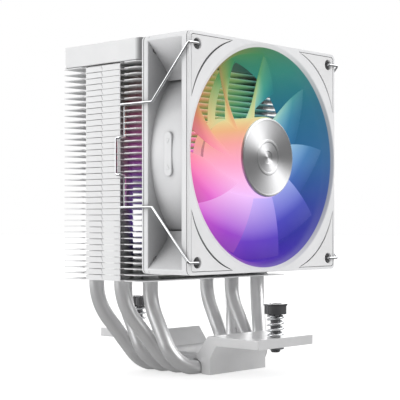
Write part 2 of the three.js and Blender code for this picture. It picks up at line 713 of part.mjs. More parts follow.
// One coil around each spoke of the stator.
for (let i = 0; i < STATOR.poles; i += 1) {
  const [near, far] = [STATOR.hub + GAP, STATOR.outer - COIL.frontClearance];
  const inner = STATOR.neck + GAP;
  const outer = inner + COIL.thickness;
  const around = box(near, far, statorFront - COIL.overhang, statorBack + COIL.overhang, -outer, outer);
  const hollow = box(near - 1, far + 1, statorFront - GAP, statorBack + GAP, -inner, inner);
  const coil = geometryOf(solid(around).subtract(solid(hollow)));
  addPart(`stator_coil_${i + 1}`, atPole(coil, i, STATOR.poles), copper);
}

// The board at the bottom of the motor, with the lamps that light the rotor on its edge.
function circuitBoard() {
  const boardBack = FAN_BACK - MOTOR_BASE.thickness - GAP;
  const boardFront = boardBack - BOARD.thickness;
  const pieces = [solid(ringAboutFan(BOARD.inner, BOARD.outer, boardFront, boardBack))];
  for (let i = 0; i < LAMP.count; i += 1) {
    const lamp = box(
      LAMP.from, LAMP.to, boardFront - LAMP.height, boardFront + 0.4, -LAMP.halfWidth, LAMP.halfWidth,
    );
    pieces.push(solid(atPole(lamp, i, LAMP.count)));
  }
  return geometryOf(join(pieces));
}

addPart('circuit_board', circuitBoard(), boardWhite);

// ---------- fan clips ----------

// The lower half mirrors the upper half about the fan's middle.
function clipRoute(side) {
  const { hook, elbow, notch, shoulder, grip, gripBack } = CLIP;
  const upper = [
    [HOLE, FAN_FRONT + hook, HOLE],
    [HOLE, CLIP_FRONT, HOLE],
    [CLIP_SIDE, CLIP_FRONT, HOLE],
    [CLIP_SIDE, elbow, shoulder],
    [CLIP_SIDE, notch, shoulder],
    [CLIP_WAIST, notch, shoulder],
    [CLIP_WAIST, notch, grip],
    [CLIP_SIDE, notch, grip],
    [CLIP_SIDE, gripBack, grip],
  ];
  const lower = upper.map(([x, y, z]) => [x, y, -z]).reverse();
  const corner = ([x, y, z]) => new THREE.Vector3(side * x, y, FAN_Z + z);
  const route = [...upper, ...lower].map(corner);
  return roundedRoute(route, Array(route.length - 2).fill(CLIP.bend), 1);
}

for (const [name, side] of [['left', -1], ['right', 1]]) {
  addPart(`fan_clip_${name}`, tube(clipRoute(side), WIRE.radius, WIRE.sides), chrome);
}

export default cooler;
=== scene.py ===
"""A white CPU tower cooler with a lit 92 mm fan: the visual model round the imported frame."""
import math

import bmesh
import bpy
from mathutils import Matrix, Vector
from mathutils.geometry import tessellate_polygon

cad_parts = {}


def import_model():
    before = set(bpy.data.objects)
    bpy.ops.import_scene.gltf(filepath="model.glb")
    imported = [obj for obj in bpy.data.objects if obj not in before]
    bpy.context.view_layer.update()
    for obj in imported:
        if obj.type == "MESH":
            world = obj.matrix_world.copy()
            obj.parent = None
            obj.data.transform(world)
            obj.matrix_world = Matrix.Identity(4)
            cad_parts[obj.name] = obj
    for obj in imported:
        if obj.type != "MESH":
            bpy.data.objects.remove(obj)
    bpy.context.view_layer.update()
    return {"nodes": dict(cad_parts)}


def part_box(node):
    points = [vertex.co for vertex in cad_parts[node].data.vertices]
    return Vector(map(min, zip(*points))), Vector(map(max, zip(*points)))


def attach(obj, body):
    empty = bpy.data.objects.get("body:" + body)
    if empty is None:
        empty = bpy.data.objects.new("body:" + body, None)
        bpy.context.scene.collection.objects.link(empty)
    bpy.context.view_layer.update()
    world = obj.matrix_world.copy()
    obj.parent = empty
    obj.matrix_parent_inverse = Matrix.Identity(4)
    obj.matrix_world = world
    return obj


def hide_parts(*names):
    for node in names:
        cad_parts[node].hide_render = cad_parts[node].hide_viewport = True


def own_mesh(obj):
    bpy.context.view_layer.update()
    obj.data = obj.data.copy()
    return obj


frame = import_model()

MM = 0.001


def into_scene(name, data):
    thing = bpy.data.objects.new(name, data)
    bpy.context.collection.objects.link(thing)
    return thing


# ---------- camera ----------

CAMERA_PLACE = (-0.3669, -0.3338, 0.0609)
CAMERA_HEADING = -47.55
CAMERA_LENS = 105.88
CAMERA_SHIFT = 0.0568


def make_camera():
    data = bpy.data.cameras.new("camera")
    data.lens = CAMERA_LENS
    data.sensor_width = 36
    data.shift_y = CAMERA_SHIFT
    camera = into_scene("camera", data)
    camera.location = CAMERA_PLACE
    camera.rotation_euler = (math.radians(90), 0, math.radians(CAMERA_HEADING))
    bpy.context.scene.camera = camera


make_camera()

# ---------- dimensions in millimetres ----------


def box_mm(node):
    low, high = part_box(node)
    return [v / MM for v in low], [v / MM for v in high]


FAN_LOW, FAN_HIGH = box_mm("fan_frame")
HALF = FAN_HIGH[0]  # half the fan's and the tower's width
FAN_FRONT, FAN_BACK = FAN_LOW[1], FAN_HIGH[1]
FAN_Z = (FAN_LOW[2] + FAN_HIGH[2]) / 2
HOLE = 41.25  # fan screw holes, from the fan's middle
HOLE_RADIUS = 2.15

COVER_LOW, COVER_HIGH = box_mm("top_cover")
TOWER_FRONT, TOWER_BACK = COVER_LOW[1], COVER_HIGH[1]
COVER_WALL = 1.6
FIN_COUNT, FINS_PER_PACK = 37, 3
FIN_LOW = box_mm("fin_pack_01")[0][2]
FIN_PITCH = (box_mm("top_fin")[0][2] - FIN_LOW) / (FIN_COUNT - 1)
FIN_THICK = 0.4
FLANGE = (2.55, 22.45)  # the folded side walls, along Y

BASE_LOW, BASE_HIGH = box_mm("base_plate")
WING_BOTTOM, WING_TOP = 11.625, BASE_HIGH[2]
SCREW_Y = 39

PIPE_RADIUS = 3.05
PIPE_ROWS = (1.5, 0.5, -0.5, -1.5)  # rear to front, in pitches
PIPE_MIDDLE, PIPE_PITCH = 13.35, 7.42
PIPE_OUTER, PIPE_INNER = 38.2, 29.3

INTAKE_LIP, THROAT, FLARE_DEPTH = 47, 42.2, 4.8
BARREL = 44.4
FRONT_FLANGE, REAR_FLANGE = 3.9, 3.4
PAD_EDGE, PAD_CENTRE, PAD_ARC = 44.6, 14.1, 31.3

HUB_RADIUS, HUB_WALL = 16.4, 1.1
HUB_FRONT, HUB_BACK = FAN_FRONT + 0.6, FAN_FRONT + 20
BLADE_COUNT, BLADE_TIP = 9, 41.4
CAP_LOW, CAP_HIGH = box_mm("hub_cap")

# ---------- mesh helpers ----------


def upright(x, y, z):
    return (x, y, z)


def across_fan(x, y, z):
    """Local x and y are the fan's width and height, and local z is the row's Y."""
    return (x, z, FAN_Z + y)


def along_x(x, y, z):
    """Local x and y are the row's Y and Z, and local z is the row's X."""
    return (z, x, y)


def mesh_of(points, faces, place=upright):
    """A mesh from millimetre points, with its faces turned outwards."""
    mesh = bpy.data.meshes.new("part")
    mesh.from_pydata([Vector(place(*p)) * MM for p in points], [], faces)
    work = bmesh.new()
    work.from_mesh(mesh)
    bmesh.ops.remove_doubles(work, verts=work.verts, dist=1e-7)
    bmesh.ops.recalc_face_normals(work, faces=work.faces)
    work.to_mesh(mesh)
    work.free()
    return mesh


def polar(radius, angle, cx=0.0, cy=0.0):
    return cx + radius * math.cos(angle), cy + radius * math.sin(angle)


def arc(cx, cy, radius, start, end, steps):
    """Points on an arc, with the angles in degrees."""
    angles = [math.radians(start + (end - start) * i / steps) for i in range(steps + 1)]
    return [polar(radius, angle, cx, cy) for angle in angles]


def circle(cx, cy, radius, steps):
    return arc(cx, cy, radius, 0, 360, steps)[:-1]


def rounded_box(xa, xb, ya, yb, radius, steps=8, far_radius=None):
    """A rectangle with rounded corners. The corners at yb may have a radius of their own."""
    far = radius if far_radius is None else far_radius
    return (arc(xb - radius, ya + radius, radius, -90, 0, steps)
            + arc(xb - far, yb - far, far, 0, 90, steps)
            + arc(xa + far, yb - far, far, 90, 180, steps)
            + arc(xa + radius, ya + radius, radius, 180, 270, steps))


def turned(points, clockwise):
    """The outline's points, in the order asked for."""
    area = sum(a[0] * b[1] - b[0] * a[1] for a, b in zip(points, points[1:] + points[:1]))
    return points[::-1] if (area < 0) != clockwise else list(points)


MITRE_LIMIT = 0.35  # keeps an inset outline's sharp corners from running out


def inset(points, distance):
    """The outline moved into the material, with mitred corners."""
    moved = []
    for i, (x, y) in enumerate(points):
        before, after = points[i - 1], points[(i + 1) % len(points)]
        one = Vector((x - before[0], y - before[1])).normalized()
        two = Vector((after[0] - x, after[1] - y)).normalized()
        left_one, left_two = Vector((-one.y, one.x)), Vector((-two.y, two.x))
        step = (left_one + left_two) * (distance / max(MITRE_LIMIT, 1 + left_one.dot(left_two)))
        moved.append((x + step.x, y + step.y))
    return moved


def plate(outlines, low, high, chamfer=0.0, place=upright):
    """A flat plate from low to high: the first outline is its edge and the others are holes."""
    loops = [turned(points, hole > 0) for hole, points in enumerate(outlines)]
    levels = [(low, 0), (high, 0)]
    if chamfer:
        soft = chamfer * 0.3
        levels = [(low, chamfer), (low + soft, soft), (low + chamfer, 0),
                  (high - chamfer, 0), (high - soft, soft), (high, chamfer)]
    points, faces, rims = [], [], ([], [])
    for loop in loops:
        base, count = len(points), len(loop)
        for z, pull in levels:
            points += [(x, y, z) for x, y in inset(loop, pull)]
        for level in range(len(levels) - 1):
            a = base + level * count
            for i in range(count):
                j = (i + 1) % count
                faces.append((a + i, a + j, a + count + j, a + count + i))
        rims[0].append(list(range(base, base + count)))
        top = base + (len(levels) - 1) * count
        rims[1].append(list(range(top, top + count)))
    for rim in rims:
        order = [i for ring in rim for i in ring]
        polygons = [[Vector(points[i][:2]).to_3d() for i in ring] for ring in rim]
        faces += [tuple(order[i] for i in three) for three in tessellate_polygon(polygons)]
    return mesh_of(points, faces, place)


def lathe(profile, sides, place=across_fan, centre=(0, 0)):
    """A closed body of revolution. The profile's corners are (radius, position along the axis)."""
    on_axis = profile[0][0] == 0 and profile[-1][0] == 0
    points, faces, rings = [], [], []
    for radius, along in profile:
        if radius == 0:
            rings.append([len(points)] * sides)
            points.append((centre[0], centre[1], along))
            continue
        rings.append(list(range(len(points), len(points) + sides)))
        points += [(x, y, along) for x, y in circle(*centre, radius, sides)]
    pairs = list(zip(rings, rings[1:])) + ([] if on_axis else [(rings[-1], rings[0])])
    for one, two in pairs:
        for i in range(sides):
            j = (i + 1) % sides
            corners = list(dict.fromkeys((one[i], one[j], two[j], two[i])))
            if len(corners) > 2:
                faces.append(tuple(corners))
    return mesh_of(points, faces, place)


def band(inner, outer, low, high):
    """The section of a plain ring, or of a rod where the inner radius is 0."""
    return [(inner, low), (outer, low), (outer, high), (inner, high)]


def softened(profile, radius, steps=3):
    """The profile with every corner off the axis rounded to the radius."""
    points = [profile[0]]
    for before, corner, after in zip(profile, profile[1:], profile[2:]):
        middle = Vector(corner)
        back, on = Vector(before) - middle, Vector(after) - middle
        reach = min(radius, back.length * 0.45, on.length * 0.45)
        start, end = middle + back.normalized() * reach, middle + on.normalized() * reach
        for i in range(steps + 1):
            t = i / steps
            points.append(tuple(start * (1 - t) ** 2 + middle * 2 * t * (1 - t) + end * t ** 2))
    points.append(profile[-1])
    return points


def bent(corners, radii, steps):
    """A polyline with each inner corner rounded to its radius."""
    points = [Vector(corners[0])]
    for i, radius in enumerate(radii):
        corner = Vector(corners[i + 1])
        back = (Vector(corners[i]) - corner).normalized()
        on = (Vector(corners[i + 2]) - corner).normalized()
        half = back.angle(on) / 2
        centre = corner + (back + on).normalized() * (radius / math.sin(half))
        start = corner + back * (radius / math.tan(half)) - centre
        end = corner + on * (radius / math.tan(half)) - centre
        sweep = start.angle(end)
        for k in range(steps + 1):
            t = k / steps
            points.append(centre + (start * math.sin((1 - t) * sweep)
                                    + end * math.sin(t * sweep)) / math.sin(sweep))
    points.append(Vector(corners[-1]))
    return points


def tube(route, radius, sides, end=0.6):
    """A round rod along a route. Its ends are domed over the given share of the radius."""
    path = [Vector(p) for p in route]
    head = (path[1] - path[0]).normalized()
    tail = (path[-1] - path[-2]).normalized()
    dome = [(0, 0.15), (0.25, 0.72), (0.6, 0.93), (1, 1)]
    rings = [(path[0] + head * radius * end * t, share) for t, share in dome]
    rings += [(p, 1) for p in path[1:-1]]
    rings += [(path[-1] - tail * radius * end * t, share) for t, share in reversed(dome)]
    points, faces = [], []
    normal = head.orthogonal().normalized()
    for i, (middle, share) in enumerate(rings):
        before, after = rings[max(i - 1, 0)][0], rings[min(i + 1, len(rings) - 1)][0]
        along = (after - before).normalized()
        normal = (normal - along * normal.dot(along)).normalized()
        side = along.cross(normal)
        for x, y in circle(0, 0, radius * share, sides):
            points.append(tuple(middle + normal * x + side * y))
    for ring in range(len(rings) - 1):
        for i in range(sides):
            j = (i + 1) % sides
            a, b = ring * sides, (ring + 1) * sides
            faces.append((a + i, a + j, b + j, b + i))
    last = (len(rings) - 1) * sides
    faces += [tuple(range(sides))[::-1], tuple(range(last, last + sides))]
    return mesh_of(points, faces)


def combined(bodies, cutters=()):
    """One mesh: the bodies joined into one solid, less the cutters."""
    steps = [("UNION", mesh) for mesh in bodies[1:]] + [("DIFFERENCE", mesh) for mesh in cutters]
    base, tools = into_scene("work", bodies[0]), []
    for operation, mesh in steps:
        tools.append(into_scene("tool", mesh))
        step = base.modifiers.new("step", "BOOLEAN")
        step.operation, step.solver, step.object = operation, "MANIFOLD", tools[-1]
    seen = base.evaluated_get(bpy.context.evaluated_depsgraph_get())
    mesh = bpy.data.meshes.new_from_object(seen)
    for tool in tools + [base]:
        bpy.data.objects.remove(tool)
    work = bmesh.new()
    work.from_mesh(mesh)
    bmesh.ops.remove_doubles(work, verts=work.verts, dist=2e-6)
    bmesh.ops.dissolve_degenerate(work, edges=work.edges, dist=1e-6)
    bmesh.ops.dissolve_limit(work, angle_limit=0.005, verts=work.verts, edges=work.edges)
    work.to_mesh(mesh)
    work.free()
    return mesh


def piece(name, mesh, material, body, replaces, crease=50, flat=True):
    """A finished piece: smooth across corners up to the crease's angle, and riding on its body.

    flat keeps the shading of large faces even.
    """
    mesh.name = name
    mesh.shade_smooth()
    mesh.set_sharp_from_angle(angle=math.radians(crease))
    mesh.materials.clear()
    mesh.materials.append(material)
    thing = into_scene(name, mesh)
    if flat:
        even = thing.modifiers.new("even", "WEIGHTED_NORMAL")
        even.keep_sharp = True
    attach(thing, body)
    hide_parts(*replaces)
    return thing


# ---------- materials ----------


class Graph:
    """Short calls for the nodes of a tree."""

    def __init__(self, tree, place):
        self.nodes, self.links = tree.nodes, tree.links
        self.place = self.node("TexCoord").outputs[place]

    def node(self, kind):
        return self.nodes.new(f"ShaderNode{kind}")

    def link(self, source, socket):
        if hasattr(source, "is_linked"):
            self.links.new(source, socket)
        else:
            socket.default_value = source

    def math(self, operation, one, two=0.0):
        node = self.node("Math")
        node.operation = operation
        self.link(one, node.inputs[0])
        self.link(two, node.inputs[1])
        return node.outputs[0]

    def product(self, first, *others):
        for other in others:
            first = self.math("MULTIPLY", first, other)
        return first

    def parts(self):
        """X, Y and Z of the place."""
        node = self.node("SeparateXYZ")
        self.links.new(self.place, node.inputs[0])
        return node.outputs[:]

    def noise(self, size, detail, stretch=(1, 1, 1)):
        """Noise with features of the given size in millimetres."""
        scale = self.node("VectorMath")
        scale.operation = "MULTIPLY"
        self.link(self.place, scale.inputs[0])
        scale.inputs[1].default_value = stretch
        node = self.node("TexNoise")
        self.link(scale.outputs[0], node.inputs["Vector"])
        node.inputs["Scale"].default_value = 1 / (size * MM)
        node.inputs["Detail"].default_value = detail
        return node.outputs["Fac"]

    def drift(self, size, detail, low, high):
        """A value that wanders from low to high with the noise."""
        return self.range(self.noise(size, detail), 0.3, 0.7, low, high)

    def range(self, value, low, high, to_low, to_high):
        """The value's range from low to high, stretched over another and held at its ends."""
        node = self.node("MapRange")
        for source, socket in zip((value, low, high, to_low, to_high), node.inputs):
            self.link(source, socket)
        return node.outputs[0]

    def ramp(self, value, stops):
        """A colour by value, between stops of a position and a colour."""
        node = self.node("ValToRGB")
        self.link(value, node.inputs["Fac"])
        elements = node.color_ramp.elements
        for i, (position, colour) in enumerate(stops):
            stop = elements[i] if i < 2 else elements.new(position)
            stop.position, stop.color = position, (*colour, 1)
        return node.outputs["Color"]

    def mix(self, share, one, two):
        """The first colour with the given share of the second."""
        node = self.node("Mix")
        node.data_type = "RGBA"
        self.link(share, node.inputs["Factor"])
        for colour, name in ((one, "A"), (two, "B")):
            socket = [s for s in node.inputs if s.name == name and s.type == "RGBA"][0]
            self.link(colour if hasattr(colour, "is_linked") else (*colour, 1), socket)
        return [s for s in node.outputs if s.type == "RGBA"][0]


class Finish(Graph):
    """A Principled material."""

    def __init__(self, name):
        self.material = bpy.data.materials.new(name)
        self.material.use_nodes = True
        super().__init__(self.material.node_tree, "Object")
        self.shader = self.nodes["Principled BSDF"]

    def edges(self):
        """About 1 on outer edges and 0 on flat faces and in corners."""
        pointiness = self.node("NewGeometry").outputs["Pointiness"]
        return self.range(pointiness, 0.52, 0.62, 0.0, 1.0)

    def cavity(self, reach):
        """1 in the open and towards 0 where surfaces within the reach in millimetres close in."""
        node = self.node("AmbientOcclusion")
        node.samples = 8
        node.inputs["Distance"].default_value = reach * MM
        return node.outputs["AO"]

    def bump(self, heights, distance, strength=1.0):
        """Relief with its height in millimetres."""
        node = self.node("Bump")
        node.inputs["Strength"].default_value = strength
        node.inputs["Distance"].default_value = distance * MM
        self.link(heights, node.inputs["Height"])
        self.links.new(node.outputs[0], self.shader.inputs["Normal"])

    def set(self, **values):
        """Values or outputs for the shader's inputs, with _ for the spaces in their names."""
        for name, value in values.items():
            self.link(value, self.shader.inputs[name.replace("_", " ")])


# The lamps' colours by angle round the hub in turns, from the right edge of the fan upwards.
LAMP_COLOURS = [
    (0.00, (0.045, 0.19, 0.46)),
    (0.09, (0.03, 0.22, 0.36)),
    (0.17, (0.045, 0.33, 0.26)),
    (0.25, (0.07, 0.31, 0.12)),
    (0.33, (0.24, 0.30, 0.06)),
    (0.42, (0.62, 0.20, 0.10)),
    (0.50, (0.92, 0.16, 0.33)),
    (0.58, (0.75, 0.10, 0.60)),
    (0.67, (0.34, 0.04, 0.60)),
    (0.75, (0.13, 0.03, 0.55)),
    (0.83, (0.06, 0.03, 0.52)),
    (0.92, (0.05, 0.075, 0.48)),
    (1.00, (0.045, 0.19, 0.46)),
]
# The same round the hub, where the light comes through the milky plastic.
HUB_COLOURS = [
    (0.00, (0.35, 0.55, 0.85)),
    (0.12, (0.35, 0.65, 0.65)),
    (0.25, (0.62, 0.70, 0.36)),
    (0.33, (0.80, 0.62, 0.30)),
    (0.39, (0.84, 0.47, 0.24)),
    (0.45, (0.90, 0.38, 0.36)),
    (0.53, (0.94, 0.40, 0.58)),
    (0.60, (0.93, 0.50, 0.80)),
    (0.70, (0.86, 0.55, 0.95)),
    (0.85, (0.45, 0.42, 0.92)),
    (1.00, (0.35, 0.55, 0.85)),
]

SPILL_DEPTH, SPILL_LEAD = 40, 0.11  # how far in it reaches, and its lead on the rotor's colours
SPILL_FULL, SPILL_FAINT = 18, 34  # distances from the middle where it is full and faintest


def round_axis(look):
    """The angle round the rotor's axis in turns, and the distance from it in millimetres."""
    across, _, height = look.parts()
    up = look.math("SUBTRACT", height, FAN_Z * MM)
    angle = look.math("DIVIDE", look.math("ARCTAN2", up, across), 2 * math.pi)
    squares = look.math("ADD", look.product(across, across), look.product(up, up))
    return angle, look.math("DIVIDE", look.math("SQRT", squares), MM)


def lamp_hue(look, angle, colours, lead=0.0):
    return look.ramp(look.math("FRACT", look.math("ADD", angle, 1 + lead)), colours)


def lamp_spill(look, share):
    """Painted lamp light on the fins behind the fan, as a glow: strong at the front edges, gone
    further in.

    The fins share one mesh, so their place is read in the world.
    """
    look.place = look.node("NewGeometry").outputs["Position"]
    angle, radius = round_axis(look)
    across, along, _ = look.parts()
    depth = look.math("SUBTRACT", along, TOWER_FRONT * MM)
    near = look.range(depth, 0.0, SPILL_DEPTH * MM, 1.0, 0.0)
    in_duct = look.range(radius, THROAT - 4, THROAT, 1.0, 0.0)
    in_middle = look.range(look.math("ABSOLUTE", across), SPILL_FULL * MM, SPILL_FAINT * MM,
                           1.0, 0.1)
    look.set(Emission_Color=lamp_hue(look, angle, LAMP_COLOURS, SPILL_LEAD),
             Emission_Strength=look.product(near, in_duct, in_middle, share))


def coated(name, dark, light, grain, relief, rough, coat=0.0, edge=0.25, spill=0.0, painted_shade_width=0.0):
    """A painted or moulded surface: drifting tint, fine grain and slightly paler edges.

    spill is the strength of the lamps' light, painted on it as a glow, and the last argument the
    width of a band of painted shade it has where it meets the fan.
    """
    look = Finish(name)
    fine = look.noise(grain, 2)
    tint = look.ramp(look.noise(14, 4), [(0.3, dark), (0.7, light)])
    speck = look.mix(look.range(fine, 0.35, 0.75, 0.0, 0.10), tint, [c * 0.86 for c in dark])
    pale_edge_tone = [min(c * 1.1, 0.95) for c in light]
    edge_toned = look.mix(look.product(look.edges(), edge), speck, pale_edge_tone)
    # Painted shade: a dark band on the cover just behind the fan, where the fan's flange shades its
    # corner.
    if painted_shade_width:
        full, gone = (TOWER_FRONT + painted_shade_width * 0.4) * MM, (TOWER_FRONT + painted_shade_width) * MM
        band = look.range(look.parts()[1], gone, full, 0.0, 0.8)
        edge_toned = look.mix(band, edge_toned, (0.16, 0.16, 0.165))
    look.set(Base_Color=edge_toned, Roughness=look.drift(3, 3, rough - 0.05, rough + 0.06))
    look.shader.inputs["Coat Weight"].default_value = coat
    look.shader.inputs["Coat Roughness"].default_value = 0.2
    if spill:
        lamp_spill(look, spill)
    look.bump(fine, relief)
    return look.material


def metal(name, dark, light, rough, scratch=(1, 1, 1), relief=0.0, size=0.6, spread=0.1):
    """A bare or plated metal: drawn or turned streaks in its tint, gloss and relief."""
    look = Finish(name)
    streaks = look.noise(size, 4, scratch)
    tint = look.mix(look.drift(6, 3, 0.0, 1.0), dark, light)
    streaked = look.mix(look.range(streaks, 0.4, 0.8, 0.0, 0.22), tint, [c * 0.7 for c in dark])
    look.set(Base_Color=streaked, Metallic=1.0,
             Roughness=look.range(streaks, 0.3, 0.7, rough, rough + spread))
    if relief:
        look.bump(streaks, relief)
    return look.material


def pearl(name, metallic):
    """Smooth pearl coat: a satin metallic white with a slow drift of tint and gloss."""
    look = Finish(name)
    white = look.ramp(look.noise(11, 3), [(0.3, (0.72, 0.72, 0.725)), (0.7, (0.78, 0.78, 0.785))])
    look.set(Base_Color=white, Roughness=look.drift(7, 2, 0.3, 0.36))
    look.shader.inputs["Metallic"].default_value = metallic
    look.shader.inputs["Coat Weight"].default_value = 0.3
    look.shader.inputs["Coat Roughness"].default_value = 0.15
    return look.material


PALE_EDGE, DIM_FROM = 34, 30  # radii where the hub's colours end and the blades grow dimmer
GLOW_EDGE = 44.1  # how far the rotor's light, painted on as a glow, reaches over the intake's flare


def rotor_glow(look):
    """The lit rotor's colour, pale at the hub, its strength and the radius it is at."""
    angle, radius = round_axis(look)
    milk = look.drift(9, 3, 0.0, 0.03)
    pale = look.math("ADD", look.range(radius, HUB_RADIUS, PALE_EDGE, 0.95, 0.0), milk)
    glow = look.mix(pale, lamp_hue(look, angle, LAMP_COLOURS), lamp_hue(look, angle, HUB_COLOURS))
    return glow, look.range(radius, DIM_FROM, BLADE_TIP, 0.95, 0.62), radius


def frosted_blade():
    """Frosted blades, lit from the hub."""
    look = Finish("frosted_blade")
    glow, strength, _ = rotor_glow(look)
    dimmed = look.mix(0.85, glow, (0.02, 0.02, 0.02))
    look.set(Base_Color=look.mix(0.75, (0.12, 0.12, 0.13), dimmed),
             Roughness=look.drift(0.4, 2, 0.5, 0.62),
             Emission_Color=glow, Emission_Strength=strength)
    look.shader.inputs["Specular IOR Level"].default_value = 0.06
    look.bump(look.noise(0.35, 2), 0.003)
    return look.material


def flare_shade(look, across, depth, radius):
    """The share of shade on the intake's flare, which grows from the fan's left to its right."""
    inside_lip = look.range(radius, INTAKE_LIP - 0.3, INTAKE_LIP, 1.0, 0.0)
    off_sides = look.range(look.math("ABSOLUTE", across), (HALF - 0.2) * MM, (HALF - 0.05) * MM,
                           1.0, 0.0)
    behind_face = look.range(depth, 0.05 * MM, 0.3 * MM, 0.0, 1.0)
    in_flange = look.range(depth, (FRONT_FLANGE - 0.1) * MM, FRONT_FLANGE * MM, 1.0, 0.0)
    growing = look.range(across, 10 * MM, 42 * MM, 0.15, 0.75)
    return look.product(inside_lip, off_sides, behind_face, in_flange, growing)


def fan_plastic():
    """Matt moulded plastic, with painted shade in its corners. Inside the duct the rotor's light is
    painted on it as a glow.
    """
    look = Finish("white_plastic")
    grain = look.noise(0.22, 2)
    tint = look.ramp(look.noise(14, 4), [(0.3, (0.76, 0.765, 0.775)), (0.7, (0.82, 0.82, 0.83))])
    edge_toned = look.mix(look.product(look.edges(), 0.2), tint, (0.9, 0.9, 0.9))
    # Painted shade: the plastic darkens where surfaces close in, in the frame's corners and
    # pockets.
    corner_shade = look.range(look.cavity(22), 0.2, 0.95, 0.9, 0.0)
    shaded = look.mix(corner_shade, edge_toned, (0.2, 0.2, 0.205))
    glow, strength, radius = rotor_glow(look)
    across, along, _ = look.parts()
    depth = look.math("SUBTRACT", along, FAN_FRONT * MM)
    # Painted light: on the flare the base colour goes dark and the rotor's colour glows as
    # emission.
    lit = look.product(look.range(depth, 0.1 * MM, 0.4 * MM, 0.0, 1.0),
                       look.range(radius, GLOW_EDGE, GLOW_EDGE + 0.15, 1.0, 0.0))
    tinted_shade = look.mix(0.2, (0.25, 0.25, 0.26), glow)
    shaded = look.mix(flare_shade(look, across, depth, radius), shaded, tinted_shade)
    look.set(Base_Color=look.mix(lit, shaded, (0.02, 0.02, 0.025)),
             Roughness=look.range(grain, 0.3, 0.7, 0.42, 0.55),
             Emission_Color=glow, Emission_Strength=look.product(lit, strength))
    look.bump(grain, 0.004)
    return look.material


RINGS_PER_MM = 9


def spun_metal():
    """Turned aluminium: fine rings about the axis stretch the reflections into a bow tie."""
    look = Finish("spun_metal")
    _, radius = round_axis(look)
    noise = look.node("TexNoise")
    noise.noise_dimensions = "1D"
    look.links.new(look.math("MULTIPLY", radius, RINGS_PER_MM), noise.inputs["W"])
    noise.inputs["Scale"].default_value = 1.0
    noise.inputs["Detail"].default_value = 4.0
    rings = noise.outputs["Fac"]
    tint = look.range(rings, 0.3, 0.7, 0.0, 1.0)
    look.set(Base_Color=look.mix(tint, (0.72, 0.72, 0.73), (0.86, 0.86, 0.87)), Metallic=1.0,
             Roughness=look.range(rings, 0.3, 0.7, 0.42, 0.5))
    look.shader.inputs["Anisotropic"].default_value = 0.9
    look.shader.inputs["Anisotropic Rotation"].default_value = 0.25
    tangent = look.node("Tangent")
    tangent.direction_type, tangent.axis = "RADIAL", "Y"
    look.links.new(tangent.outputs[0], look.shader.inputs["Tangent"])
    look.bump(rings, 0.001, 0.3)
    return look.material


# The powder coat carries a 3.6 mm band of painted shade where the cover meets the fan.
PAINT = coated("white_powder_coat", (0.76, 0.765, 0.77), (0.82, 0.82, 0.825), 0.28, 0.004, 0.42,
               edge=0.35, painted_shade_width=3.6)
# The fins carry a painted glow of the lamps' light, strongest at their front edges.
FIN_PAINT = coated("white_fin_coat", (0.77, 0.775, 0.78), (0.83, 0.83, 0.835), 0.5, 0.003, 0.36,
                   edge=0.15, spill=0.3)
PEARL = pearl("pearl_pipes", 0.6)
PALE_PEARL = pearl("pearl_base", 0.28)
RUBBER = coated("white_pad_rubber", (0.76, 0.76, 0.765), (0.81, 0.81, 0.815), 0.16, 0.008, 0.62,
                edge=0.1)
PLASTIC = fan_plastic()
BLADE = frosted_blade()
SPUN = spun_metal()
CHROME = metal("chrome_wire", (0.72, 0.73, 0.75), (0.84, 0.85, 0.86), 0.04, size=3, spread=0.05)
BLACK_CHROME = metal("black_chrome", (0.22, 0.22, 0.23), (0.32, 0.32, 0.33), 0.05, size=3,
                     spread=0.05)
STEEL = metal("plain_steel", (0.42, 0.43, 0.45), (0.55, 0.56, 0.58), 0.3, (1, 8, 1), 0.002)
BRONZE = metal("sintered_bronze", (0.45, 0.3, 0.13), (0.58, 0.41, 0.2), 0.45, relief=0.01,
               size=0.3)
COPPER = metal("enamelled_copper", (0.55, 0.22, 0.1), (0.7, 0.32, 0.15), 0.22, (1, 12, 1), 0.01,
               size=1.2)
MAGNET = coated("bonded_magnet", (0.02, 0.02, 0.023), (0.045, 0.045, 0.05), 0.3, 0.01, 0.6)
BOARD = coated("solder_mask", (0.68, 0.69, 0.68), (0.76, 0.77, 0.76), 0.5, 0.004, 0.32, coat=0.3)
NYLON = coated("natural_nylon", (0.68, 0.67, 0.62), (0.76, 0.75, 0.7), 0.3, 0.004, 0.4)

INNER_NODES = {
    "rotor_yoke": STEEL, "rotor_magnet": MAGNET, "motor_shaft": STEEL, "bearing_sleeve": BRONZE,
    "shaft_washer": NYLON, "stator_core": STEEL, "circuit_board": BOARD,
    **{f"stator_coil_{i + 1}": COPPER for i in range(4)},
}
for node, material in INNER_NODES.items():
    carried = frame["nodes"][node]
    carried.data.materials.clear()
    carried.data.materials.append(material)

# ---------- heat pipes ----------

KNEE_Z, KNEE_RADIUS = 28.3, 25
FOOT_Z, FOOT_PITCH, FOOT_RADIUS = 2.7, 7.8, 11
FOOT_OUTER, FOOT_INNER = 24.5, 29
PIPE_TOP = 127.2


def leg_columns(row):
    """X of the left and right legs in the tower and at the foot: outer and inner ones alternate."""
    if row % 2 == 0:
        return -PIPE_OUTER, PIPE_INNER, -FOOT_OUTER, FOOT_INNER
    return -PIPE_INNER, PIPE_OUTER, -FOOT_INNER, FOOT_OUTER


